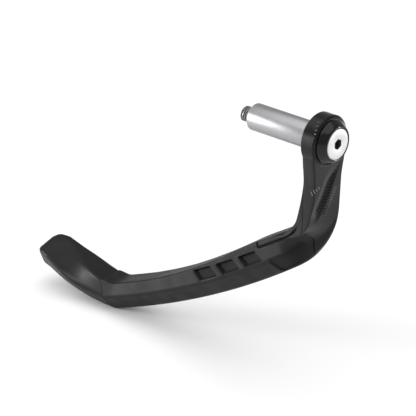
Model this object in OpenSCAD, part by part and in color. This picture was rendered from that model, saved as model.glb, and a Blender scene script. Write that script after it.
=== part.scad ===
// Clutch lever guard for a motorbike handlebar.
// X runs out of the bar end, Z is up, and the arm hangs down from the ring.
// The origin is on the bar axis, at the ring face that the handlebar end meets.

/* [Ring] */
// Outside diameter of the ring head
ring_d = 27; // [25:0.5:30]
// Thickness of the ring head along the bar axis
ring_t = 9; // [8:0.5:11]
// Chamfer round both rims of the ring head
ring_chamfer = 1; // [0.5:0.1:1.4]

/* [Clamp] */
// Thread diameter of the clamp bolt
bolt_d = 8; // [6:1:8]
// Outside diameter of the sleeve that enters the handlebar
sleeve_d = 14; // [13:0.5:16]
// Length of the sleeve
sleeve_len = 41; // [30:1:55]
// Chamfer at the free end of the sleeve
sleeve_chamfer = 2; // [1:0.5:2.5]
// Thread that stands out of the sleeve
thread_out = 5.2; // [3:0.5:10]
// Diameter of the collar where it meets the ring
collar_base_d = 23; // [21:0.5:24]
// Diameter of the collar at its front rim
collar_rim_d = 18.8; // [18:0.2:20]
// Height of the collar
collar_h = 4.4; // [4:0.2:7]
// Diameter of the bolt head
head_d = 16; // [14:0.5:17]
// Thickness of the bolt head
head_t = 2.6; // [2:0.2:3]
// Hexagon socket across its flats
socket_af = 5; // [4:0.5:6]
// Depth of the hexagon socket
socket_depth = 3.5; // [2.5:0.5:4]

/* [Arm] */
// Length of the straight part of the arm
arm_len = 39.5; // [34:0.5:46]
// Lean of the arm towards the bar, in degrees
arm_lean = 3; // [1:1:6]
// Width of the arm
arm_w = 21; // [19:0.5:22]
// Radius of the elbow's outside line
elbow_r = 36; // [32:1:40]
// Thickness of the elbow where the blade begins
elbow_t = 19; // [17:0.5:22]
// Thickness of the tongue that laps the blade
tongue_t = 2.8; // [2.4:0.2:3.6]
// Length of the tongue past the elbow
tongue_len = 19; // [18:1:22]

/* [Blade] */
// Length of the blade past the elbow
blade_len = 141; // [120:1:160]
// Angle between the blade and the bar at the elbow
blade_start = 35; // [30:1:40]
// Angle between the blade and the bar at the tip joint
blade_end = 20; // [14:1:26]
// Thickness of the blade at the tip joint
blade_t = 15.5; // [14:0.5:18]
// Width of the blade across its ridges
blade_w = 20; // [18:0.5:22]
// Width of the blade's inner face
inner_w = 15; // [12:0.5:17]
// Width of the blade's nose
nose_w = 6; // [4:0.5:8]
// Height of the ridges above the nose
ridge_n = 8.5; // [7:0.5:10]
// Number of grip pockets
pocket_count = 3; // [1:1:4]
// Length of one grip pocket
pocket_len = 11; // [8:0.5:12]
// Distance from one pocket to the next
pocket_pitch = 18; // [14:0.5:20]
// Depth of a grip pocket
pocket_depth = 1.6; // [1:0.1:2]
// Length of the bare pad
pad_len = 26; // [20:1:28]
// Height of the bare pad
pad_h = 8; // [6:0.5:9]
// Depth of the bare pad
pad_depth = 0.6; // [0.4:0.1:1]

/* [Tip] */
// Length of the end cap
tip_len = 45.5; // [42:0.5:52]
// Rise of the end cap back towards the bar, in degrees
tip_rise = 13; // [8:1:20]
// Step of the end cap above the blade's inner face
tip_step = 3; // [1:0.5:4]
// Thickness of the end cap at its belly
belly_t = 18.5; // [17:0.5:20]
// Thickness of the end cap at its free end
tip_t = 10; // [8:0.5:12]
// Width of the end cap at its widest
tip_w = 22; // [20:0.5:24]
// Groove between the blade and the end cap
tip_gap = 0.3; // [0.2:0.1:0.5]
// Length of the spigot that carries the end cap
spigot_len = 7; // [5:1:9]

/* [Screws] */
// Thread diameter of the screws through the tongue
screw_d = 4; // [3:0.5:4]
// Distance between the two screws
screw_pitch = 12; // [10:1:14]
// Length of the screws
screw_len = 12; // [10:1:14]

/* [Hidden] */
fit = 0.1;
eps = 0.01;
station_step = 2.5;
arm_top_z = -5;
arm_face_x = ring_t - 0.05;
arm_heading = 90 - arm_lean;
elbow_arc = elbow_r * (arm_heading - blade_start) * PI / 180;
blade_r = blade_len * 180 / PI / (blade_start - blade_end);
s_elbow = arm_len;
s_blade = arm_len + elbow_arc;
s_end = s_blade + blade_len;
s_tongue = s_blade + tongue_len;
seam_x = -3.5;
bore_d = bolt_d + 0.4;
collar_top = ring_t + collar_h;
head_seat = collar_top - head_t;
pocket_h = 6;
pocket_slant = 3;
pocket_first = s_blade + 17;
pad_s = s_blade + 2.5;
pad_n = 5;
screw_s = s_blade + 2;
screw_head_d = 2 * screw_d;
screw_head_t = 2;
spigot_shrink = 0.5;
sky = 30;

// Smooth step from 0 to 1 as s goes from a to b.
function ease(s, a, b) = let (t = min(1, max(0, (s - a) / (b - a)))) t * t * (3 - 2 * t);

// Linear mix of two values or points.
function mix(a, b, t) = a * (1 - t) + b * t;

// Heading of the outside line below the -X direction, at the distance s along it.
function heading(s) =
    s < s_elbow ? arm_heading
    : s < s_blade ? arm_heading - (s - s_elbow) / elbow_r * 180 / PI
    : blade_start - (s - s_blade) / blade_r * 180 / PI;

// Point [x, z] after turning along an arc of radius r from heading a to heading b.
function arc_move(r, a, b) = [-r * (sin(a) - sin(b)), -r * (cos(b) - cos(a))];

// Point [x, z] of the outside line at the distance s.
arm_start = [arm_face_x, arm_top_z];
elbow_start = arm_start + arm_len * [-cos(arm_heading), -sin(arm_heading)];
blade_begin = elbow_start + arc_move(elbow_r, arm_heading, blade_start);
function outside(s) =
    s < s_elbow ? arm_start + s * [-cos(arm_heading), -sin(arm_heading)]
    : s < s_blade ? elbow_start + arc_move(elbow_r, arm_heading, heading(s))
    : blade_begin + arc_move(blade_r, blade_start, heading(s));

// Unit vector [x, z] from the outside line towards the inner face.
function inward(s) = [-sin(heading(s)), cos(heading(s))];
function thickness(s) =
    s < s_blade ? mix(ring_t - 0.5, elbow_t, ease(s, 0.4 * s_elbow, s_blade))
    : mix(elbow_t, blade_t, ease(s, s_blade, s_blade + 0.6 * blade_len));
function at(s, n) = outside(s) + n * inward(s);

// Outline of the guard across its length: [n, y] from the outside line.
// The side face turns from the arm's front to the blade's flank on its way down.
function section(s) =
    let (
        t = thickness(s),
        wrap = ease(s, 0.5 * s_elbow, s_blade + 4),
        chamfer = ease(s, 0.85 * s_elbow, s_blade + 4),
        half = mix(arm_w, blade_w, chamfer) / 2,
        neck = half + (ring_d / 2 - 1 - half) * (1 - ease(s, 0, 0.45 * s_elbow))
    )
    [
        [mix(0.4, t, wrap), -mix(neck, inner_w / 2, ease(s, s_elbow, s_blade))],
        [mix(0, ridge_n, chamfer), mix(neck - 1, -half, chamfer)],
        [0, mix(neck - 0.6, -nose_w / 2, chamfer)],
        [mix(0.6, 0, chamfer), mix(neck, nose_w / 2, chamfer)],
        [mix(2, ridge_n, chamfer), mix(neck, half, chamfer)],
        [t, mix(neck, inner_w / 2, chamfer)],
        [t, -mix(neck - 1, inner_w / 2 - 2, wrap)],
    ];

// Point [x, y, z] of an outline point [n, y] at the distance s.
function lift(s, p) = let (q = at(s, p[0])) [q[0], p[1], q[1]];

// Closed skin over a list of rings that have the same number of points.
module skin(rings) {
    k = len(rings[0]);
    last = len(rings) - 1;
    points = [for (ring = rings) each ring];
    sides = [for (i = [0:last - 1], j = [0:k - 1])
        let (a = i * k + j, b = i * k + (j + 1) % k)
        each [[a, b, b + k], [a, b + k, a + k]]];
    caps = [[for (j = [0:k - 1]) k - 1 - j], [for (j = [0:k - 1]) last * k + j]];
    polyhedron(points, concat(sides, caps), convexity = 6);
}

// The arm and the blade in one run, from the ring to the tip joint.
module guard_run() {
    steps = ceil(s_end / station_step);
    skin([for (i = [0:steps]) let (s = s_end * i / steps) [for (p = section(s)) lift(s, p)]]);
}

// Plate in the XZ plane, as wide as the whole guard.
module plate(points, w = 2 * tip_w) {
    rotate([90, 0, 0]) linear_extrude(w, center = true) polygon(points);
}

// What belongs to the arm: all above the seam, and the tongue along the inner face.
module arm_side(grow = 0) {
    s_list = [for (i = [0:10]) mix(s_elbow, s_tongue + grow, i / 10)];
    low = [for (s = s_list) at(s, thickness(s) - tongue_t - grow)];
    end = at(s_tongue + grow, elbow_t + 20);
    plate(concat(low, [end, [end[0], sky], [seam_x, sky]]));
    plate([[seam_x - grow, sky], [seam_x - grow, -120], [60, -120], [60, sky]]);
}

module along_bar() {
    rotate([0, 90, 0]) children();
}

module ring_head() {
    along_bar() rotate_extrude($fn = 96) polygon([
        [0, 0],
        [ring_d / 2 - ring_chamfer, 0],
        [ring_d / 2, ring_chamfer],
        [ring_d / 2, ring_t - ring_chamfer],
        [ring_d / 2 - ring_chamfer, ring_t],
        [0, ring_t],
    ]);
}

module screw_places() {
    for (i = [0, 1])
        let (s = screw_s + i * screw_pitch, p = at(s, thickness(s)))
        translate([p[0], 0, p[1]]) rotate([0, -heading(s), 0]) children();
}

module arm() {
    color([0.08, 0.08, 0.09]) difference() {
        union() {
            ring_head();
            intersection() {
                guard_run();
                arm_side();
            }
        }
        translate([-eps, 0, 0]) along_bar() cylinder(d = bore_d, h = ring_t + 2 * eps, $fn = 64);
        screw_places() {
            translate([0, 0, -tongue_t - 1]) cylinder(d = screw_d + fit, h = tongue_t + 2, $fn = 32);
            translate([0, 0, -screw_head_t]) cylinder(d = screw_head_d + fit, h = 6, $fn = 32);
        }
    }
}

// One grip pocket: a slanted cut into the blade's flank.
module pocket(s) {
    n0 = ridge_n + 0.8;
    flank_y = -blade_w / 2 + pocket_depth + 0.4;
    corners = [
        at(s, n0),
        at(s + pocket_len, n0),
        at(s + pocket_len + pocket_slant, n0 + pocket_h),
        at(s + pocket_slant, n0 + pocket_h),
    ];
    translate([0, flank_y - 10, 0]) plate(corners, 20);
}

// The bare pad: a shallow slot with round ends on the lower flank.
module pad_slot() {
    p = at(pad_s, pad_n);
    depth_y = -blade_w / 2 + 3.2 + pad_depth;
    translate([p[0], depth_y, p[1]]) rotate([90, -heading(pad_s), 0])
        linear_extrude(20) offset(2, $fn = 32) square([pad_len - 4, pad_h - 4], center = true);
}

module spigot(shrink, grow) {
    rings = [for (s = [s_end - 2, s_end + spigot_len + grow])
        let (e = min(s, s_end), t = thickness(e), q = at(e, t / 2), d = s - e)
        [for (p = section(e))
            [
                q[0] + (p[0] - t / 2) * shrink * inward(e)[0] - d * cos(heading(e)),
                p[1] * shrink,
                q[1] + (p[0] - t / 2) * shrink * inward(e)[1] - d * sin(heading(e)),
            ]]];
    skin(rings);
}

module blade() {
    color([0.06, 0.06, 0.065]) difference() {
        union() {
            difference() {
                guard_run();
                arm_side(fit);
                for (i = [0:pocket_count - 1]) pocket(pocket_first + i * pocket_pitch);
                pad_slot();
            }
            spigot(spigot_shrink, 0);
        }
        screw_places() translate([0, 0, -screw_len - fit])
            cylinder(d = screw_d + fit, h = screw_len, $fn = 32);
    }
}

// Outline of the end cap at u from 0 at the joint to 1 at its free end.
function cap_ring(u) =
    let (
        t0 = thickness(s_end),
        h0 = heading(s_end),
        joint = at(s_end, t0 + tip_step) + tip_gap * [-cos(h0), -sin(h0)],
        h = mix(h0, -tip_rise, min(1, 3 * u)),
        q = joint + u * tip_len * [-cos(tip_rise), sin(tip_rise)],
        t = mix(mix(t0 + tip_step, belly_t, ease(u, 0, 0.4)), tip_t, ease(u, 0.45, 1.1)),
        wide = mix(1, tip_w / blade_w, ease(u, 0, 0.4)) * (1 - 0.2 * ease(u, 0.75, 1)),
        drop = 3 * ease(u, 0.75, 1)
    )
    [for (p = section(s_end))
        let (n = (1 - p[0] / t0) * t + drop)
        [q[0] + n * sin(h), p[1] * wide, q[1] - n * cos(h)]];

module end_cap() {
    steps = 12;
    color([0.05, 0.05, 0.055]) difference() {
        skin([for (i = [0:steps]) cap_ring(i / steps)]);
        spigot(spigot_shrink + 0.02, fit);
    }
}

module collar() {
    color([0.04, 0.04, 0.045]) along_bar() rotate_extrude($fn = 96) polygon([
        [bore_d / 2, ring_t],
        [collar_base_d / 2, ring_t],
        [collar_base_d / 2, ring_t + 0.8],
        [collar_rim_d / 2, collar_top - 0.5],
        [collar_rim_d / 2 - 0.5, collar_top],
        [head_d / 2 + fit, collar_top],
        [head_d / 2 + fit, head_seat],
        [bore_d / 2, head_seat],
    ]);
}

module clamp_bolt() {
    color([0.85, 0.85, 0.86]) difference() {
        along_bar() rotate_extrude($fn = 96) polygon([
            [0, -sleeve_len - thread_out],
            [bolt_d / 2 - 0.7, -sleeve_len - thread_out],
            [bolt_d / 2, -sleeve_len - thread_out + 0.7],
            [bolt_d / 2, head_seat],
            [head_d / 2, head_seat],
            [head_d / 2, collar_top - 0.3],
            [head_d / 2 - 0.3, collar_top],
            [0, collar_top],
        ]);
        translate([collar_top - socket_depth, 0, 0]) along_bar()
            cylinder(d = socket_af / cos(30), h = socket_depth + 1, $fn = 6);
    }
}

module sleeve() {
    color([0.75, 0.75, 0.77]) along_bar() rotate_extrude($fn = 96) polygon([
        [bore_d / 2, 0],
        [sleeve_d / 2, 0],
        [sleeve_d / 2, -sleeve_len + sleeve_chamfer],
        [sleeve_d / 2 - sleeve_chamfer, -sleeve_len],
        [bore_d / 2, -sleeve_len],
    ]);
}

module blade_screws() {
    color([0.6, 0.6, 0.62]) screw_places() difference() {
        union() {
            translate([0, 0, -screw_len]) cylinder(d = screw_d, h = screw_len - 0.5, $fn = 32);
            translate([0, 0, -screw_head_t]) cylinder(d = screw_head_d, h = screw_head_t - 0.2, $fn = 48);
        }
        translate([0, 0, -1.6]) cylinder(d = 2.9, h = 3, $fn = 6);
    }
}

arm();
blade();
end_cap();
collar();
clamp_bolt();
sleeve();
blade_screws();
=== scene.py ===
import math

import bmesh
import bpy
from bpy.props import FloatProperty, FloatVectorProperty, IntProperty, PointerProperty
from mathutils import Matrix, Vector
from mathutils.bvhtree import BVHTree


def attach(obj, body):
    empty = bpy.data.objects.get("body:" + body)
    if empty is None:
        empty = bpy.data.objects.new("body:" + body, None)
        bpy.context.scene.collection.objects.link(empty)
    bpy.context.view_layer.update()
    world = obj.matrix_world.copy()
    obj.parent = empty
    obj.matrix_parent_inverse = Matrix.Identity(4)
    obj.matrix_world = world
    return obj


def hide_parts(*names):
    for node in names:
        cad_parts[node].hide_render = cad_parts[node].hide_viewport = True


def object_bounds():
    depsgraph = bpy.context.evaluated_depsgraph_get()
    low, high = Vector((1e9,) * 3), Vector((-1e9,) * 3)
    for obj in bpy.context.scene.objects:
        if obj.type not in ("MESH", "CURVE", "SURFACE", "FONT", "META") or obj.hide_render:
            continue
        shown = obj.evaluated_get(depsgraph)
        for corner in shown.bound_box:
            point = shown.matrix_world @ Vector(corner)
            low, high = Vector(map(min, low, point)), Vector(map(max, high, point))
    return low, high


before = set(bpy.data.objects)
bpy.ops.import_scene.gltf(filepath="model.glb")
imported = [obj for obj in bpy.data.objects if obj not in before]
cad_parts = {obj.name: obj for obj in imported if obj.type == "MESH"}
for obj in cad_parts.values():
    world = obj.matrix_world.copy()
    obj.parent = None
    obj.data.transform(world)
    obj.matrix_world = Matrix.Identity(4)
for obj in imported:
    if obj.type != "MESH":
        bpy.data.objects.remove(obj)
CAD_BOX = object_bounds()

bl_info = {
    "name": "Clutch lever guard",
    "version": (1, 0, 0),
    "blender": (4, 5, 0),
    "location": "3D View > Sidebar > Guard",
    "description": "Dresses the lever guard with its finishes, thread, marks and studio",
    "category": "Object",
}

# Viewing direction: right, up and towards the viewer, in the row frame.
RIGHT = Vector((0.77989, 0.62591, 0.0))
UP = Vector((-0.25058, 0.31223, 0.91636))
TOWARDS = Vector((0.57356, -0.71466, 0.40035))
EYE_DISTANCE = 1.5
EYE = EYE_DISTANCE * TOWARDS
SENSOR = 36.0
IMAGE = 416
MM_PER_PIXEL = 0.49
# Where the row frame's origin falls in the picture, in pixels.
ORIGIN_PIXEL = (315.5, 135.5)

# Rows of cutter marks, set where the arm shows glints and coloured lighter as painted glint: first and
# last pixel, each mark's lean in degrees, and the count's divisor.
MARK_ROWS = (
    ((334.0, 185.0), (324.5, 212.0), 15.0, 1),
    ((312.2, 140.0), (318.2, 121.0), 15.0, 2),
    ((311.5, 192.0), (318.5, 186.0), -68.0, 3),
)

# The guard's run in millimetres, as the solids have it.
RING_D, RING_T = 27.0, 9.0
ARM_LEN, ARM_LEAN, ARM_W = 39.5, 3.0, 21.0
ELBOW_R, ELBOW_T = 36.0, 19.0
BLADE_LEN, BLADE_START, BLADE_END = 141.0, 35.0, 20.0
BLADE_T, BLADE_W, INNER_W, NOSE_W, RIDGE_N = 15.5, 20.0, 15.0, 6.0, 8.5
ARM_HEADING = 90.0 - ARM_LEAN
S_ELBOW = ARM_LEN
S_BLADE = ARM_LEN + ELBOW_R * math.radians(ARM_HEADING - BLADE_START)
S_END = S_BLADE + BLADE_LEN
BLADE_R = BLADE_LEN / math.radians(BLADE_START - BLADE_END)

# The scene's own millimetres: bore, seam, tongue's groove, joint, pockets, bare pad, scoop and cap.
BORE_R = 4.3
SEAM_X, SEAM_GAP = -0.5, 0.2
S_TONGUE = S_BLADE + 15.0
TONGUE_N = 3.0
JOINT_RISE = 3.0
POCKETS, POCKET_START, POCKET_PITCH, POCKET_LEN = 3, 15.5, 18.0, 12.0
POCKET_LOW, POCKET_HEIGHT, POCKET_SLANT, POCKET_DEPTH = 10.4, 5.2, 3.6, 1.9
POCKET_TOP = POCKET_LOW + POCKET_HEIGHT
LIP_START, LIP_HEIGHT = POCKET_LEN + 1.0, 0.45
PAD_N, PAD_S, PAD_DEPTH = 5.0, S_BLADE - 2.5, 1.0
SCOOP_DEPTH = 1.3
CAP_LEN, CAP_HEADING, CAP_BELLY, CAP_TIP = 45.1, -13.0, 19.0, 15.5

# Rounding of the outline's seven corners, steps on the sides after them, and rows along each piece.
GUARD_RADII = (0.9, 1.3, 1.2, 1.6, 1.3, 1.0, 0.5)
CAP_RADII = (2.2, 2.6, 2.0, 2.0, 2.6, 2.2, 1.0)
SIDE_STEPS = (26, 18, 6, 8, 8, 8, 4)
ARM_ROWS, BLADE_ROWS, CAP_ROWS = 160, 360, 70

# Ends of the sleeve and of the thread along X, and the radius of the thread's ridge, in metres.
SLEEVE_END = -0.041
THREAD_END = -0.0462
THREAD_RIDGE = 0.00036

EDGE_ANGLE = 25.0
# Painted shade: the dark colour of the bolt's hex socket stands for the shade inside the recess, not for
# the steel's own colour.
SOCKET_SHADE_COLOUR = (0.05, 0.05, 0.052)
SCREW_COLOUR = (0.18, 0.18, 0.19)
# Painted glint: the cutter marks are real ridges, but their light grey stands for highlights on the
# black arm.
CUT_GLINT_COLOUR = (0.16, 0.16, 0.165)


class FinishSettings(bpy.types.PropertyGroup):
    arm_colour: FloatVectorProperty(
        name="Arm",
        description="Colour of the anodised arm",
        default=(0.005, 0.005, 0.0055),
        subtype="COLOR",
    )
    blade_colour: FloatVectorProperty(
        name="Blade",
        description="Colour of the moulded blade",
        default=(0.007, 0.007, 0.0075),
        subtype="COLOR",
    )
    cap_colour: FloatVectorProperty(
        name="End cap",
        description="Colour of the end cap",
        default=(0.006, 0.006, 0.0065),
        subtype="COLOR",
    )
    collar_colour: FloatVectorProperty(
        name="Collar",
        description="Colour of the gloss collar",
        default=(0.006, 0.006, 0.007),
        subtype="COLOR",
    )
    bolt_colour: FloatVectorProperty(
        name="Bolt",
        description="Colour of the bright bolt",
        default=(0.62, 0.62, 0.63),
        subtype="COLOR",
    )
    thread_colour: FloatVectorProperty(
        name="Thread",
        description="Colour of the bolt's thread",
        default=(0.25, 0.25, 0.26),
        subtype="COLOR",
    )
    sleeve_colour: FloatVectorProperty(
        name="Sleeve",
        description="Colour of the turned sleeve",
        default=(0.36, 0.36, 0.37),
        subtype="COLOR",
    )


class ThreadSettings(bpy.types.PropertyGroup):
    pitch: FloatProperty(
        name="Pitch", description="Distance between the thread's turns", default=0.00125, unit="LENGTH"
    )
    root_radius: FloatProperty(
        name="Root radius", description="Radius at the foot of the thread", default=0.0034, unit="LENGTH"
    )
    tip_radius: FloatProperty(
        name="Outer radius", description="Radius over the thread's crests", default=0.004, unit="LENGTH"
    )


class MarkSettings(bpy.types.PropertyGroup):
    count: IntProperty(name="Marks", description="Number of cutter marks in a row", default=12, min=2)
    length: FloatProperty(name="Length", description="Length of one mark", default=0.0022, unit="LENGTH")
    width: FloatProperty(name="Width", description="Width of one mark", default=0.00042, unit="LENGTH")
    height: FloatProperty(
        name="Height", description="Height of one mark", default=0.00012, unit="LENGTH"
    )


class StageSettings(bpy.types.PropertyGroup):
    floor_colour: FloatVectorProperty(
        name="Floor",
        description="Colour of the floor",
        default=(0.93, 0.93, 0.93),
        subtype="COLOR",
    )
    key_power: FloatProperty(
        name="Key lamp", description="Power of the key lamp in watts", default=6.0, unit="POWER"
    )
    top_light: FloatProperty(name="Top lamp", description="Strength of the lamp overhead", default=1.75)
    fill_light: FloatProperty(
        name="Fill light", description="Strength of the light from all round", default=0.42
    )


def settings(name):
    return getattr(bpy.context.scene, "guard_" + name)


def ease(s, a, b):
    part = min(1.0, max(0.0, (s - a) / (b - a)))
    return part * part * (3 - 2 * part)


def mix(a, b, t):
    return a * (1 - t) + b * t


def heading(s):
    """Heading of the outside line below -X, in degrees, at the distance s along it."""
    if s < S_ELBOW:
        return ARM_HEADING
    if s < S_BLADE:
        return ARM_HEADING - math.degrees((s - S_ELBOW) / ELBOW_R)
    return BLADE_START - math.degrees((s - S_BLADE) / BLADE_R)


def arc_move(r, a, b):
    a, b = math.radians(a), math.radians(b)
    return Vector((-r * (math.sin(a) - math.sin(b)), -r * (math.cos(b) - math.cos(a))))


def back_along(angle):
    angle = math.radians(angle)
    return Vector((-math.cos(angle), -math.sin(angle)))


def outside(s):
    start = Vector((RING_T - 0.05, -5.0))
    if s < S_ELBOW:
        return start + s * back_along(ARM_HEADING)
    elbow = start + ARM_LEN * back_along(ARM_HEADING)
    if s < S_BLADE:
        return elbow + arc_move(ELBOW_R, ARM_HEADING, heading(s))
    blade = elbow + arc_move(ELBOW_R, ARM_HEADING, BLADE_START)
    return blade + arc_move(BLADE_R, BLADE_START, heading(s))


def thickness(s):
    """Thickness at the distance s, with the crown by the pockets and the rise at the end cap."""
    if s < S_BLADE:
        return mix(RING_T - 0.5, ELBOW_T, ease(s, 0.4 * S_ELBOW, S_BLADE))
    crown = 1.3 * ease(s, S_BLADE - 5, S_BLADE + 25) * (1 - ease(s, S_BLADE + 55, S_BLADE + 115))
    rise = JOINT_RISE * ease(s, S_END - 9, S_END + 1)
    return mix(ELBOW_T, BLADE_T, ease(s, S_BLADE, S_BLADE + 0.6 * BLADE_LEN)) + crown + rise


def lift(s, n, y):
    """Point in metres at the distance s, n in from the outside line and y across."""
    angle = math.radians(heading(s))
    place = outside(s) + n * Vector((-math.sin(angle), math.cos(angle)))
    return Vector((place[0], y, place[1])) / 1000


def section(s):
    """Outline [n, y] of the guard across its length, the same seven corners as the solids."""
    t = thickness(s)
    wrap = ease(s, 0.5 * S_ELBOW, S_BLADE + 4)
    chamfer = ease(s, 0.85 * S_ELBOW, S_BLADE + 4)
    half = mix(ARM_W, BLADE_W, chamfer) / 2
    neck = half + (RING_D / 2 - 1 - half) * (1 - ease(s, 0, 0.45 * S_ELBOW))
    return [
        (mix(0.4, t, wrap), -mix(neck, INNER_W / 2, ease(s, S_ELBOW, S_BLADE))),
        (mix(0, RIDGE_N, chamfer), mix(neck - 1, -half, chamfer)),
        (0, mix(neck - 0.6, -NOSE_W / 2, chamfer)),
        (mix(0.6, 0, chamfer), mix(neck, NOSE_W / 2, chamfer)),
        (mix(2, RIDGE_N, chamfer), mix(neck, half, chamfer)),
        (t, mix(neck, INNER_W / 2, chamfer)),
        (t, -mix(neck - 1, INNER_W / 2 - 2, wrap)),
    ]


def rounded(corners, radii, steps):
    """The outline with round corners: four points on each corner and a fixed count on each side."""
    outline = []
    count = len(corners)
    points = [Vector(corner) for corner in corners]
    arcs = []
    for i, point in enumerate(points):
        before, after = points[i - 1] - point, points[(i + 1) % count] - point
        a = point + before * min(0.48, radii[i] / max(before.length, 0.01))
        b = point + after * min(0.48, radii[i] / max(after.length, 0.01))
        arcs.append([a * (1 - k) ** 2 + 2 * point * k * (1 - k) + b * k * k for k in (0, 0.33, 0.67, 1)])
    for i, arc in enumerate(arcs):
        outline += arc
        start, end = arc[-1], arcs[(i + 1) % count][0]
        outline += [start.lerp(end, j / steps[i]) for j in range(1, steps[i])]
    return outline


def fine_section(s):
    return rounded(section(s), GUARD_RADII, SIDE_STEPS)


def closed_piece(name, points, faces, angle):
    """An object whose faces look outwards, smooth but for the edges that turn past the angle."""
    mesh = bpy.data.meshes.new(name)
    mesh.from_pydata(points, [], faces)
    joined = bmesh.new()
    joined.from_mesh(mesh)
    bmesh.ops.recalc_face_normals(joined, faces=joined.faces)
    joined.to_mesh(mesh)
    joined.free()
    piece = bpy.data.objects.new(name, mesh)
    bpy.context.scene.collection.objects.link(piece)
    shade(mesh, angle)
    return piece


def skin(name, rings):
    """A closed mesh over rings of points that have the same count."""
    count = len(rings[0])
    faces = []
    for i in range(len(rings) - 1):
        for j in range(count):
            a, b = i * count + j, i * count + (j + 1) % count
            faces.append((a, b, b + count, a + count))
    last = (len(rings) - 1) * count
    faces.append(tuple(range(count - 1, -1, -1)))
    faces.append(tuple(range(last, last + count)))
    return closed_piece(name, [tuple(point) for ring in rings for point in ring], faces, 35.0)


def seam_station(j, x):
    """Distance s at which the outline's point j crosses the upright plane at x."""
    low, high = 0.5 * S_ELBOW, S_BLADE + 25
    for _ in range(26):
        s = (low + high) / 2
        n, y = fine_section(s)[j]
        if lift(s, n, y)[0] * 1000 > x:
            low = s
        else:
            high = s
    return (low + high) / 2


def inside_slanted(s, n, start, length, low, height, slant, soft):
    """1 inside a slanted four-sided patch of the flank, 0 outside, with soft borders."""
    shift = slant * (n - low) / height
    return min(
        ease(s, start + shift - soft, start + shift + soft * 0.4),
        1 - ease(s, start + length + shift - soft * 0.4, start + length + shift + soft),
        ease(n, low - soft, low + soft * 0.6),
        1 - ease(n, low + height - soft * 0.6, low + height + soft),
    )


def flank_depth(s, n, t):
    """How deep the viewer's flank is cut at [s, n]: pockets, bare pad and the tongue's groove."""
    depth = lip = 0.0
    for i in range(POCKETS):
        start = S_BLADE + POCKET_START + POCKET_PITCH * i
        edge = start + LIP_START + POCKET_SLANT * (n - POCKET_LOW) / POCKET_HEIGHT
        across = ease(n, POCKET_LOW - 1.0, POCKET_LOW + 0.2)
        across *= 1 - ease(n, POCKET_TOP - 0.4, POCKET_TOP + 0.6)
        lip = max(lip, across * (1 - ease(abs(s - edge), 0.1, 1.1)))
        inside = inside_slanted(s, n, start, POCKET_LEN, POCKET_LOW, POCKET_HEIGHT, POCKET_SLANT, 0.5)
        depth = max(depth, POCKET_DEPTH * inside)
    across, along = abs(n - PAD_N), abs(s - PAD_S)
    corner = math.hypot(max(across - 2.2, 0), max(along - 11.5, 0))
    depth = max(depth, PAD_DEPTH * (1 - ease(corner, 1.5, 2.1)))
    groove = 1 - ease(abs(n - (t - TONGUE_N)), 0.25, 0.7)
    groove *= 1 - ease(s, S_TONGUE - 0.6, S_TONGUE)
    stop = (1 - ease(abs(s - S_TONGUE), 0.2, 0.6)) * ease(n, t - TONGUE_N - 0.4, t - TONGUE_N)
    return max(depth, 1.1 * groove, 0.9 * stop) - LIP_HEIGHT * lip


def scoop_depth(s, y):
    """How deep the arm's front is cut at [s, y], along a crease that runs down to the left."""
    crease = mix(8.0, -8.5, (s - 8) / 36)
    slope = ease(y, crease - 9, crease) * (1 - ease(y, crease, crease + 0.9))
    return SCOOP_DEPTH * slope * ease(s, 6, 18) * (1 - ease(s, 34, 46))


def plain_copy(name, node):
    """A merged mesh object made from a CAD node, which keeps its own mesh."""
    joined = bmesh.new()
    joined.from_mesh(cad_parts[node].data)
    bmesh.ops.remove_doubles(joined, verts=joined.verts, dist=0.000005)
    mesh = bpy.data.meshes.new(name)
    joined.to_mesh(mesh)
    joined.free()
    piece = bpy.data.objects.new(name, mesh)
    bpy.context.scene.collection.objects.link(piece)
    return piece


def bake(piece):
    """Turns the piece's modifiers into a plain mesh."""
    graph = bpy.context.evaluated_depsgraph_get()
    graph.update()
    mesh = bpy.data.meshes.new_from_object(piece.evaluated_get(graph), depsgraph=graph)
    piece.modifiers.clear()
    piece.data = mesh
    mesh.name = piece.name


def soften(piece, width):
    """Rounds the edges that turn past the edge angle and smooths the rest."""
    bevel = piece.modifiers.new("edges", "BEVEL")
    bevel.width = width
    bevel.segments = 2
    bevel.limit_method = "ANGLE"
    bevel.angle_limit = math.radians(EDGE_ANGLE)
    bevel.use_clamp_overlap = True
    bake(piece)
    shade(piece.data, EDGE_ANGLE)


def shade(mesh, angle):
    """Smooths the mesh but for the edges that turn past the angle."""
    for polygon in mesh.polygons:
        polygon.use_smooth = True
    mesh.set_sharp_from_angle(angle=math.radians(angle))


def paint(piece, material):
    piece.data.materials.clear()
    piece.data.materials.append(material)


def finished(piece, slot, *nodes):
    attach(piece, "root")
    if nodes:
        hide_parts(*nodes)


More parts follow.
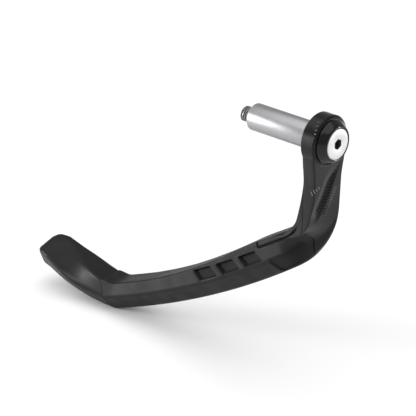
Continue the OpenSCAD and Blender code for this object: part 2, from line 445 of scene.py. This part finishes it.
class Finish:
    """A material with its nodes: Object coordinates, noise, bump and one shader."""

    def __init__(self, name, colour, roughness, metallic, specular):
        self.material = bpy.data.materials.new(name)
        self.material.use_nodes = True
        self.material.diffuse_color = (*colour, 1.0)
        self.tree = self.material.node_tree
        self.shader = self.tree.nodes["Principled BSDF"]
        self.shader.inputs["Base Color"].default_value = (*colour, 1.0)
        self.shader.inputs["Roughness"].default_value = roughness
        self.shader.inputs["Metallic"].default_value = metallic
        self.shader.inputs["Specular IOR Level"].default_value = specular
        self.colour = colour
        self.place = self.tree.nodes.new("ShaderNodeTexCoord").outputs["Object"]

    def node(self, kind, **sockets):
        made = self.tree.nodes.new("ShaderNode" + kind)
        for name, value in sockets.items():
            socket = made.inputs[name.replace("_", " ")]
            if hasattr(value, "is_output"):
                self.tree.links.new(value, socket)
            else:
                socket.default_value = value
        return made

    def stretched(self, scale):
        mapping = self.node("Mapping", Vector=self.place, Scale=scale)
        return mapping.outputs["Vector"]

    def noise(self, scale, detail=3.0, place=None):
        made = self.node("TexNoise", Vector=place or self.place, Scale=scale, Detail=detail)
        return made.outputs["Fac"]

    def ramp(self, factor, low, high):
        made = self.node("ValToRGB", Fac=factor)
        made.color_ramp.elements[0].position = 0.3
        made.color_ramp.elements[1].position = 0.7
        made.color_ramp.elements[0].color = (*low, 1.0)
        made.color_ramp.elements[1].color = (*high, 1.0)
        return made.outputs["Color"]

    def vary_colour(self, factor, spread):
        low = tuple(c * (1 - spread) for c in self.colour)
        high = tuple(min(1.0, c * (1 + spread)) for c in self.colour)
        self.tree.links.new(self.ramp(factor, low, high), self.shader.inputs["Base Color"])

    def vary_roughness(self, factor, low, high):
        made = self.node("MapRange", Value=factor, To_Min=low, To_Max=high)
        self.tree.links.new(made.outputs["Result"], self.shader.inputs["Roughness"])

    def bump(self, height, strength, distance):
        made = self.node("Bump", Height=height, Strength=strength, Distance=distance)
        self.tree.links.new(made.outputs["Normal"], self.shader.inputs["Normal"])


def anodised_finish():
    finish = Finish("anodised_black", tuple(settings("finish").arm_colour), 0.3, 0.0, 0.24)
    finish.vary_colour(finish.noise(90.0, 4.0), 0.35)
    finish.vary_roughness(finish.noise(160.0, 3.0), 0.2, 0.32)
    grain = finish.noise(2600.0, 2.0, finish.stretched((1.0, 1.0, 0.25)))
    finish.bump(grain, 0.25, 0.00004)
    return finish.material


def moulded_finish(name, colour, low, high, grain_scale, recessed=False):
    finish = Finish(name, colour, 0.4, 0.0, 0.2)
    finish.vary_colour(finish.noise(70.0, 4.0), 0.3)
    if recessed:
        cut = finish.tree.nodes.new("ShaderNodeAttribute")
        cut.attribute_name = "recess"
        depth = finish.node("Math", Value=finish.noise(120.0, 4.0))
        finish.tree.links.new(cut.outputs["Fac"], depth.inputs[1])
        finish.vary_roughness(depth.outputs[0], low, mix(low, high, 2.2))
    else:
        finish.vary_roughness(finish.noise(120.0, 4.0), low, high)
    finish.bump(finish.noise(grain_scale, 3.0), 0.35, 0.00005)
    return finish.material


def collar_finish():
    finish = Finish("gloss_black", tuple(settings("finish").collar_colour), 0.14, 0.0, 0.3)
    finish.vary_colour(finish.noise(200.0), 0.3)
    finish.vary_roughness(finish.noise(240.0), 0.10, 0.2)
    rings = finish.noise(900.0, 2.0, finish.stretched((3.0, 0.2, 0.2)))
    finish.bump(rings, 0.1, 0.00003)
    return finish.material


def turned_finish(name, colour, low, high, metallic):
    """Turned metal: fine rings round the X axis and a soft lengthwise change of tone."""
    finish = Finish(name, colour, 0.3, metallic, 0.5)
    rings = finish.noise(420.0, 3.0, finish.stretched((6.0, 0.15, 0.15)))
    finish.vary_colour(rings, 0.05)
    finish.vary_roughness(finish.noise(260.0, 3.0, finish.stretched((3.0, 0.3, 0.3))), low, high)
    finish.bump(rings, 0.06, 0.00002)
    return finish.material


def cap_ring(u):
    """Outline of the end cap, u from 0 at the joint to 1 at its free end."""
    t0, h0 = thickness(S_END), heading(S_END)
    angle = math.radians(h0)
    start = outside(S_END) + t0 * Vector((-math.sin(angle), math.cos(angle))) + 0.3 * back_along(h0)
    turn = math.radians(mix(h0, CAP_HEADING, min(1, 3 * u)))
    place = start + u * CAP_LEN * back_along(CAP_HEADING)
    t = mix(mix(t0, CAP_BELLY, ease(u, 0, 0.4)), CAP_TIP, ease(u, 0.5, 1.1))
    wide = mix(1, 1.1, ease(u, 0, 0.4)) * (1 - 0.16 * ease(u, 0.8, 1))
    shrink = 1 - 0.12 * ease(u, 0.93, 1.0) - 0.1 * ease(u, 0.975, 1.0)
    corners = section(S_END)
    crossed = mix(-INNER_W / 2, 4.0, ease(u, 0.02, 0.85))
    corners[0] = (t0, crossed)
    corners[1] = (RIDGE_N + 4.5 * ease(u, 0.3, 0.95), corners[1][1])
    corners[6] = (t0, crossed + 1.6)
    ring = []
    for p, y in rounded(corners, CAP_RADII, SIDE_STEPS):
        n = (1 - p / t0) * t
        n = t / 2 + (n - t / 2) * shrink + 1.2 * ease(u, 0.8, 1)
        x, z = place[0] + n * math.sin(turn), place[1] - n * math.cos(turn)
        ring.append(Vector((x, y * wide * shrink, z)) / 1000)
    return ring


def turned(name, profile, sides=128):
    """A closed lathe piece round the X axis from (x, radius) in millimetres."""
    points, faces = [], []
    count = len(profile)
    for i in range(sides):
        angle = 2 * math.pi * i / sides
        across, above = math.cos(angle) / 1000, math.sin(angle) / 1000
        points += [(x / 1000, r * across, r * above) for x, r in profile]
        a, b = i * count, ((i + 1) % sides) * count
        faces += [(a + j, a + (j + 1) % count, b + (j + 1) % count, b + j) for j in range(count)]
    return closed_piece(name, points, faces, EDGE_ANGLE)


def head_profile():
    """Half of the ring head's section as [x, radius]: a flat face and a broken edge, mirrored."""
    rim = RING_D / 2
    edge = [(0, BORE_R), (0, rim - 1.3), (0.15, rim - 1.0), (0.85, rim - 0.2), (1.1, rim - 0.05)]
    return edge + [(RING_T - x, r) for x, r in reversed(edge)]


def camera_ray(x, y):
    """Direction from the eye through a pixel of the picture."""
    across = (x - ORIGIN_PIXEL[0]) * MM_PER_PIXEL / 1000
    above = (ORIGIN_PIXEL[1] - y) * MM_PER_PIXEL / 1000
    return (across * RIGHT + above * UP - EYE).normalized()


def mark_points(trees, start, end, lean, count):
    """Places and turns of a row of marks between two pixels, on the surface they fall on."""
    places = []
    for i in range(count):
        part = i / (count - 1)
        x = start[0] + (end[0] - start[0]) * part
        y = start[1] + (end[1] - start[1]) * part
        casts = [tree.ray_cast(EYE, camera_ray(x, y)) for tree in trees]
        hits = [cast for cast in casts if cast[0] is not None]
        if not hits:
            raise RuntimeError("a cutter mark falls off the arm")
        spot, normal = min(hits, key=lambda hit: hit[3])[:2]
        along = RIGHT * math.cos(math.radians(lean)) + UP * math.sin(math.radians(lean))
        lay = normal.cross(TOWARDS.cross(along)).normalized()
        turn = Matrix((normal.cross(lay), lay, normal)).transposed().to_euler()
        places.append((spot, turn))
    return places


def open_tree(name, numbers):
    """A Geometry Nodes tree with geometry in and out and the named numbers, and its input node."""
    tree = bpy.data.node_groups.new(name, "GeometryNodeTree")
    face = tree.interface
    face.new_socket("Geometry", in_out="INPUT", socket_type="NodeSocketGeometry")
    for number in numbers:
        face.new_socket(number, in_out="INPUT", socket_type="NodeSocketFloat")
    face.new_socket("Geometry", in_out="OUTPUT", socket_type="NodeSocketGeometry")
    return tree, tree.nodes.new("NodeGroupInput")


def close_tree(tree, geometry, material):
    """Makes the geometry real, gives it the material and hands it to the tree's output."""
    nodes, links = tree.nodes, tree.links
    real = nodes.new("GeometryNodeRealizeInstances")
    links.new(geometry, real.inputs["Geometry"])
    coat = nodes.new("GeometryNodeSetMaterial")
    coat.inputs["Material"].default_value = material
    links.new(real.outputs["Geometry"], coat.inputs["Geometry"])
    outlet = nodes.new("NodeGroupOutput")
    links.new(coat.outputs["Geometry"], outlet.inputs["Geometry"])


def mark_tree(material):
    """Geometry Nodes: one thin bar on every point, turned by the point's own angles."""
    tree, inlet = open_tree("cutter_marks", ("Length", "Width", "Height"))
    nodes, links = tree.nodes, tree.links
    size = nodes.new("ShaderNodeCombineXYZ")
    links.new(inlet.outputs["Width"], size.inputs[0])
    links.new(inlet.outputs["Length"], size.inputs[1])
    links.new(inlet.outputs["Height"], size.inputs[2])
    bar = nodes.new("GeometryNodeMeshCube")
    links.new(size.outputs[0], bar.inputs["Size"])
    turn = nodes.new("GeometryNodeInputNamedAttribute")
    turn.data_type = "FLOAT_VECTOR"
    turn.inputs["Name"].default_value = "turn"
    place = nodes.new("GeometryNodeInstanceOnPoints")
    links.new(inlet.outputs["Geometry"], place.inputs["Points"])
    links.new(bar.outputs["Mesh"], place.inputs["Instance"])
    links.new(turn.outputs["Attribute"], place.inputs["Rotation"])
    close_tree(tree, place.outputs["Instances"], material)
    return tree


def thread_tree(material):
    """Geometry Nodes: a ridge wound round the X axis along a spiral."""
    tree, inlet = open_tree("thread_turns", ("Turns", "Radius", "Length", "Ridge"))
    nodes, links = tree.nodes, tree.links
    spiral = nodes.new("GeometryNodeCurveSpiral")
    spiral.inputs["Resolution"].default_value = 40
    links.new(inlet.outputs["Turns"], spiral.inputs["Rotations"])
    links.new(inlet.outputs["Radius"], spiral.inputs["Start Radius"])
    links.new(inlet.outputs["Radius"], spiral.inputs["End Radius"])
    links.new(inlet.outputs["Length"], spiral.inputs["Height"])
    ridge = nodes.new("GeometryNodeCurvePrimitiveCircle")
    ridge.inputs["Resolution"].default_value = 6
    links.new(inlet.outputs["Ridge"], ridge.inputs["Radius"])
    sweep = nodes.new("GeometryNodeCurveToMesh")
    sweep.inputs["Fill Caps"].default_value = True
    links.new(spiral.outputs["Curve"], sweep.inputs["Curve"])
    links.new(ridge.outputs["Curve"], sweep.inputs["Profile Curve"])
    lay = nodes.new("GeometryNodeTransform")
    lay.inputs["Rotation"].default_value = (0.0, math.radians(90), 0.0)
    links.new(sweep.outputs["Mesh"], lay.inputs["Geometry"])
    close_tree(tree, lay.outputs["Geometry"], material)
    return tree


def use_tree(piece, tree, **values):
    modifier = piece.modifiers.new(tree.name, "NODES")
    modifier.node_group = tree
    for item in tree.interface.items_tree:
        if item.in_out == "INPUT" and item.name in values:
            modifier[item.identifier] = values[item.name]


class GUARD_OT_arm(bpy.types.Operator):
    """Make the anodised arm with its ring head"""

    bl_idname = "guard.arm"
    bl_label = "Arm"

    def execute(self, context):
        count = len(fine_section(0))
        ends = [seam_station(j, SEAM_X + SEAM_GAP) for j in range(count)]
        rings = []
        for i in range(ARM_ROWS + 1):
            ring = []
            for j in range(count):
                s = ends[j] * i / ARM_ROWS
                n, y = fine_section(s)[j]
                n += scoop_depth(s, y) * (1 - ease(n, 0.8, 3.0))
                ring.append(lift(s, n, y))
            rings.append(ring)
        arm = skin("arm_body", rings)
        head = turned("ring_head", head_profile())
        black = anodised_finish()
        for piece in (arm, head):
            paint(piece, black)
        finished(arm, "black_anodised", "arm")
        finished(head, "black_anodised", "arm")
        return {"FINISHED"}


class GUARD_OT_blade(bpy.types.Operator):
    """Make the moulded blade with its grip pockets and bare pad"""

    bl_idname = "guard.blade"
    bl_label = "Blade"

    def execute(self, context):
        count = len(fine_section(0))
        starts = [seam_station(j, SEAM_X - SEAM_GAP) for j in range(count)]
        rings, recess = [], []
        for i in range(BLADE_ROWS + 1):
            ring = []
            for j in range(count):
                s = mix(starts[j], S_END, i / BLADE_ROWS)
                n, y = fine_section(s)[j]
                depth = flank_depth(s, n, thickness(s)) * ease(-y, 1.0, 4.0) if y < 0 else 0.0
                recess.append(max(0.0, depth))
                ring.append(lift(s, n, y + depth))
            rings.append(ring)
        blade = skin("blade_body", rings)
        depths = blade.data.attributes.new("recess", "FLOAT", "POINT")
        depths.data.foreach_set("value", recess)
        colour = tuple(settings("finish").blade_colour)
        paint(blade, moulded_finish("moulded_nylon", colour, 0.34, 0.5, 1900.0, True))
        finished(blade, "black_nylon", "blade")
        return {"FINISHED"}


class GUARD_OT_cap(bpy.types.Operator):
    """Make the end cap"""

    bl_idname = "guard.cap"
    bl_label = "End cap"

    def execute(self, context):
        cap = skin("cap_body", [cap_ring(i / CAP_ROWS) for i in range(CAP_ROWS + 1)])
        colour = tuple(settings("finish").cap_colour)
        paint(cap, moulded_finish("cap_nylon", colour, 0.38, 0.52, 2300.0))
        finished(cap, "cap_nylon", "end_cap")
        return {"FINISHED"}


class GUARD_OT_collar(bpy.types.Operator):
    """Make the gloss collar under the bolt head"""

    bl_idname = "guard.collar"
    bl_label = "Collar"

    def execute(self, context):
        collar = plain_copy("collar_ring", "collar")
        soften(collar, 0.0002)
        paint(collar, collar_finish())
        finished(collar, "collar_black", "collar")
        return {"FINISHED"}


class GUARD_OT_bolt(bpy.types.Operator):
    """Make the clamp bolt, narrowed to the thread's root where it stands out"""

    bl_idname = "guard.bolt"
    bl_label = "Clamp bolt"

    def execute(self, context):
        thread = settings("thread")
        bolt = plain_copy("bolt_body", "clamp_bolt")
        for vertex in bolt.data.vertices:
            if vertex.co.x < SLEEVE_END:
                vertex.co.y *= thread.root_radius / thread.tip_radius
                vertex.co.z *= thread.root_radius / thread.tip_radius
        soften(bolt, 0.00015)
        colour = tuple(settings("finish").bolt_colour)
        steel = turned_finish("bright_steel", colour, 0.3, 0.42, 0.55)
        thread_colour = tuple(settings("finish").thread_colour)
        shank = turned_finish("thread_steel", thread_colour, 0.32, 0.46, 0.7)
        # The hex socket's steel is painted dark, as shade in the recess.
        socket_shade = turned_finish("socket_steel", SOCKET_SHADE_COLOUR, 0.35, 0.5, 0.4)
        bolt.data.materials.clear()
        for material in (steel, shank, socket_shade):
            bolt.data.materials.append(material)
        face = max(vertex.co.x for vertex in bolt.data.vertices)
        for polygon in bolt.data.polygons:
            middle = polygon.center
            in_head = RING_T / 1000 < middle.x < face - 0.0002
            if middle.x < 0:
                polygon.material_index = 1
            # Faces inside the hex socket take the painted shade.
            elif in_head and math.hypot(middle.y, middle.z) < 0.003:
                polygon.material_index = 2
        finished(bolt, "bolt_steel", "clamp_bolt")
        turns = bpy.data.objects.new("bolt_thread", bpy.data.meshes.new("bolt_thread"))
        context.scene.collection.objects.link(turns)
        length = SLEEVE_END - THREAD_END - 0.0006
        use_tree(
            turns,
            thread_tree(shank),
            Turns=length / thread.pitch,
            Radius=thread.tip_radius - THREAD_RIDGE,
            Length=length,
            Ridge=THREAD_RIDGE,
        )
        bake(turns)
        turns.data.transform(Matrix.Translation((THREAD_END + 0.0004, 0.0, 0.0)))
        shade(turns.data, 50.0)
        finished(turns, "bolt_steel")
        return {"FINISHED"}


class GUARD_OT_sleeve(bpy.types.Operator):
    """Make the turned sleeve that enters the handlebar"""

    bl_idname = "guard.sleeve"
    bl_label = "Sleeve"

    def execute(self, context):
        sleeve = plain_copy("sleeve_tube", "sleeve")
        soften(sleeve, 0.0002)
        colour = tuple(settings("finish").sleeve_colour)
        paint(sleeve, turned_finish("turned_aluminium", colour, 0.34, 0.48, 0.85))
        finished(sleeve, "sleeve_aluminium", "sleeve")
        return {"FINISHED"}


class GUARD_OT_screws(bpy.types.Operator):
    """Make the two tongue screws, which lie inside the blade"""

    bl_idname = "guard.screws"
    bl_label = "Screws"

    def execute(self, context):
        screws = plain_copy("tongue_screws", "blade_screws")
        soften(screws, 0.00012)
        paint(screws, turned_finish("plain_steel", SCREW_COLOUR, 0.3, 0.45, 0.8))
        finished(screws, "screw_steel", "blade_screws")
        return {"FINISHED"}


class GUARD_OT_marks(bpy.types.Operator):
    """Make the rows of cutter marks on the arm: real ridges whose light grey is a painted glint"""

    bl_idname = "guard.marks"
    bl_label = "Cutter marks"

    def execute(self, context):
        marks = settings("marks")
        graph = context.evaluated_depsgraph_get()
        trees = [BVHTree.FromObject(bpy.data.objects[name], graph) for name in ("arm_body", "ring_head")]
        places = []
        for start, end, lean, divisor in MARK_ROWS:
            places += mark_points(trees, start, end, lean, max(2, marks.count // divisor))
        piece = bpy.data.objects.new("cutter_marks", bpy.data.meshes.new("cutter_marks"))
        context.scene.collection.objects.link(piece)
        piece.data.from_pydata([spot for spot, turn in places], [], [])
        turns = piece.data.attributes.new("turn", "FLOAT_VECTOR", "POINT")
        for i, (spot, turn) in enumerate(places):
            turns.data[i].vector = turn
        # The marks' lighter grey is a painted glint on real ridges.
        cut = turned_finish("cut_metal", CUT_GLINT_COLOUR, 0.25, 0.4, 0.3)
        use_tree(piece, mark_tree(cut), Length=marks.length, Width=marks.width, Height=marks.height)
        bake(piece)
        finished(piece, "black_anodised")
        return {"FINISHED"}


class GUARD_OT_stage(bpy.types.Operator):
    """Make the floor, the lamps, the light from all round and the camera"""

    bl_idname = "guard.stage"
    bl_label = "Stage"

    def execute(self, context):
        stage = settings("stage")
        low = CAD_BOX[0][2]
        mesh = bpy.data.meshes.new("floor")
        reach = 6.0
        mesh.from_pydata(
            [(-reach, -reach, low), (reach, -reach, low), (reach, reach, low), (-reach, reach, low)],
            [],
            [(0, 1, 2, 3)],
        )
        floor = bpy.data.objects.new("floor", mesh)
        context.scene.collection.objects.link(floor)
        finish = Finish("floor_white", tuple(stage.floor_colour), 0.8, 0.0, 0.1)
        finish.vary_roughness(finish.noise(2.0), 0.75, 0.85)
        paint(floor, finish.material)
        self.light(context, stage)
        self.camera(context)
        return {"FINISHED"}

    def light(self, context, stage):
        world = bpy.data.worlds.new("soft_room")
        world.use_nodes = True
        back = world.node_tree.nodes["Background"]
        back.inputs["Color"].default_value = (1.0, 1.0, 1.0, 1.0)
        back.inputs["Strength"].default_value = stage.fill_light
        context.scene.world = world
        middle = Vector((-0.06, 0.0, -0.07))
        for name, spot, size, share in (
            ("front_lamp", (-0.9, -0.72, 0.12), 0.4, 1.7),
            ("side_lamp", (0.75, 0.85, -0.02), 0.22, 1.1),
        ):
            data = bpy.data.lights.new(name, "AREA")
            data.energy = stage.key_power * share
            data.size = size
            lamp = bpy.data.objects.new(name, data)
            lamp.location = spot
            lamp.rotation_euler = (middle - Vector(spot)).to_track_quat("-Z", "Y").to_euler()
            context.scene.collection.objects.link(lamp)

        data = bpy.data.lights.new("top_lamp", "SUN")
        data.energy = stage.top_light
        data.angle = math.radians(80)
        lamp = bpy.data.objects.new("top_lamp", data)
        lamp.rotation_euler = Vector((0.05, 0.1, -1.0)).to_track_quat("-Z", "Y").to_euler()
        context.scene.collection.objects.link(lamp)

    def camera(self, context):
        data = bpy.data.cameras.new("camera")
        data.sensor_width = SENSOR
        data.lens = SENSOR * EYE_DISTANCE * 1000 / MM_PER_PIXEL / IMAGE
        data.clip_start = 0.05
        data.clip_end = 50.0
        camera = bpy.data.objects.new("camera", data)
        camera.location = EYE
        camera.rotation_euler = camera_ray(IMAGE / 2, IMAGE / 2).to_track_quat("-Z", "Y").to_euler()
        context.scene.collection.objects.link(camera)
        context.scene.camera = camera
        context.scene.view_settings.view_transform = "Standard"


PIECES = ("arm", "blade", "cap", "collar", "bolt", "sleeve", "screws", "marks", "stage")


class GUARD_PT_panel(bpy.types.Panel):
    bl_idname = "GUARD_PT_panel"
    bl_label = "Clutch lever guard"
    bl_space_type = "VIEW_3D"
    bl_region_type = "UI"
    bl_category = "Guard"

    def draw(self, context):
        for name in GROUPS:
            box = self.layout.box()
            group = settings(name)
            for field in group.bl_rna.properties:
                if field.identifier not in ("rna_type", "name"):
                    box.prop(group, field.identifier)
        for piece in PIECES:
            self.layout.operator("guard." + piece)


GROUPS = {
    "finish": FinishSettings,
    "thread": ThreadSettings,
    "marks": MarkSettings,
    "stage": StageSettings,
}
CLASSES = (
    *GROUPS.values(),
    GUARD_OT_arm,
    GUARD_OT_blade,
    GUARD_OT_cap,
    GUARD_OT_collar,
    GUARD_OT_bolt,
    GUARD_OT_sleeve,
    GUARD_OT_screws,
    GUARD_OT_marks,
    GUARD_OT_stage,
    GUARD_PT_panel,
)


def register():
    for kind in CLASSES:
        bpy.utils.register_class(kind)
    for name, group in GROUPS.items():
        setattr(bpy.types.Scene, "guard_" + name, PointerProperty(type=group))


def unregister():
    for name in GROUPS:
        delattr(bpy.types.Scene, "guard_" + name)
    for kind in reversed(CLASSES):
        bpy.utils.unregister_class(kind)


def main():
    register()
    for piece in PIECES:
        getattr(bpy.ops.guard, piece)()


if __name__ == "__main__":
    main()
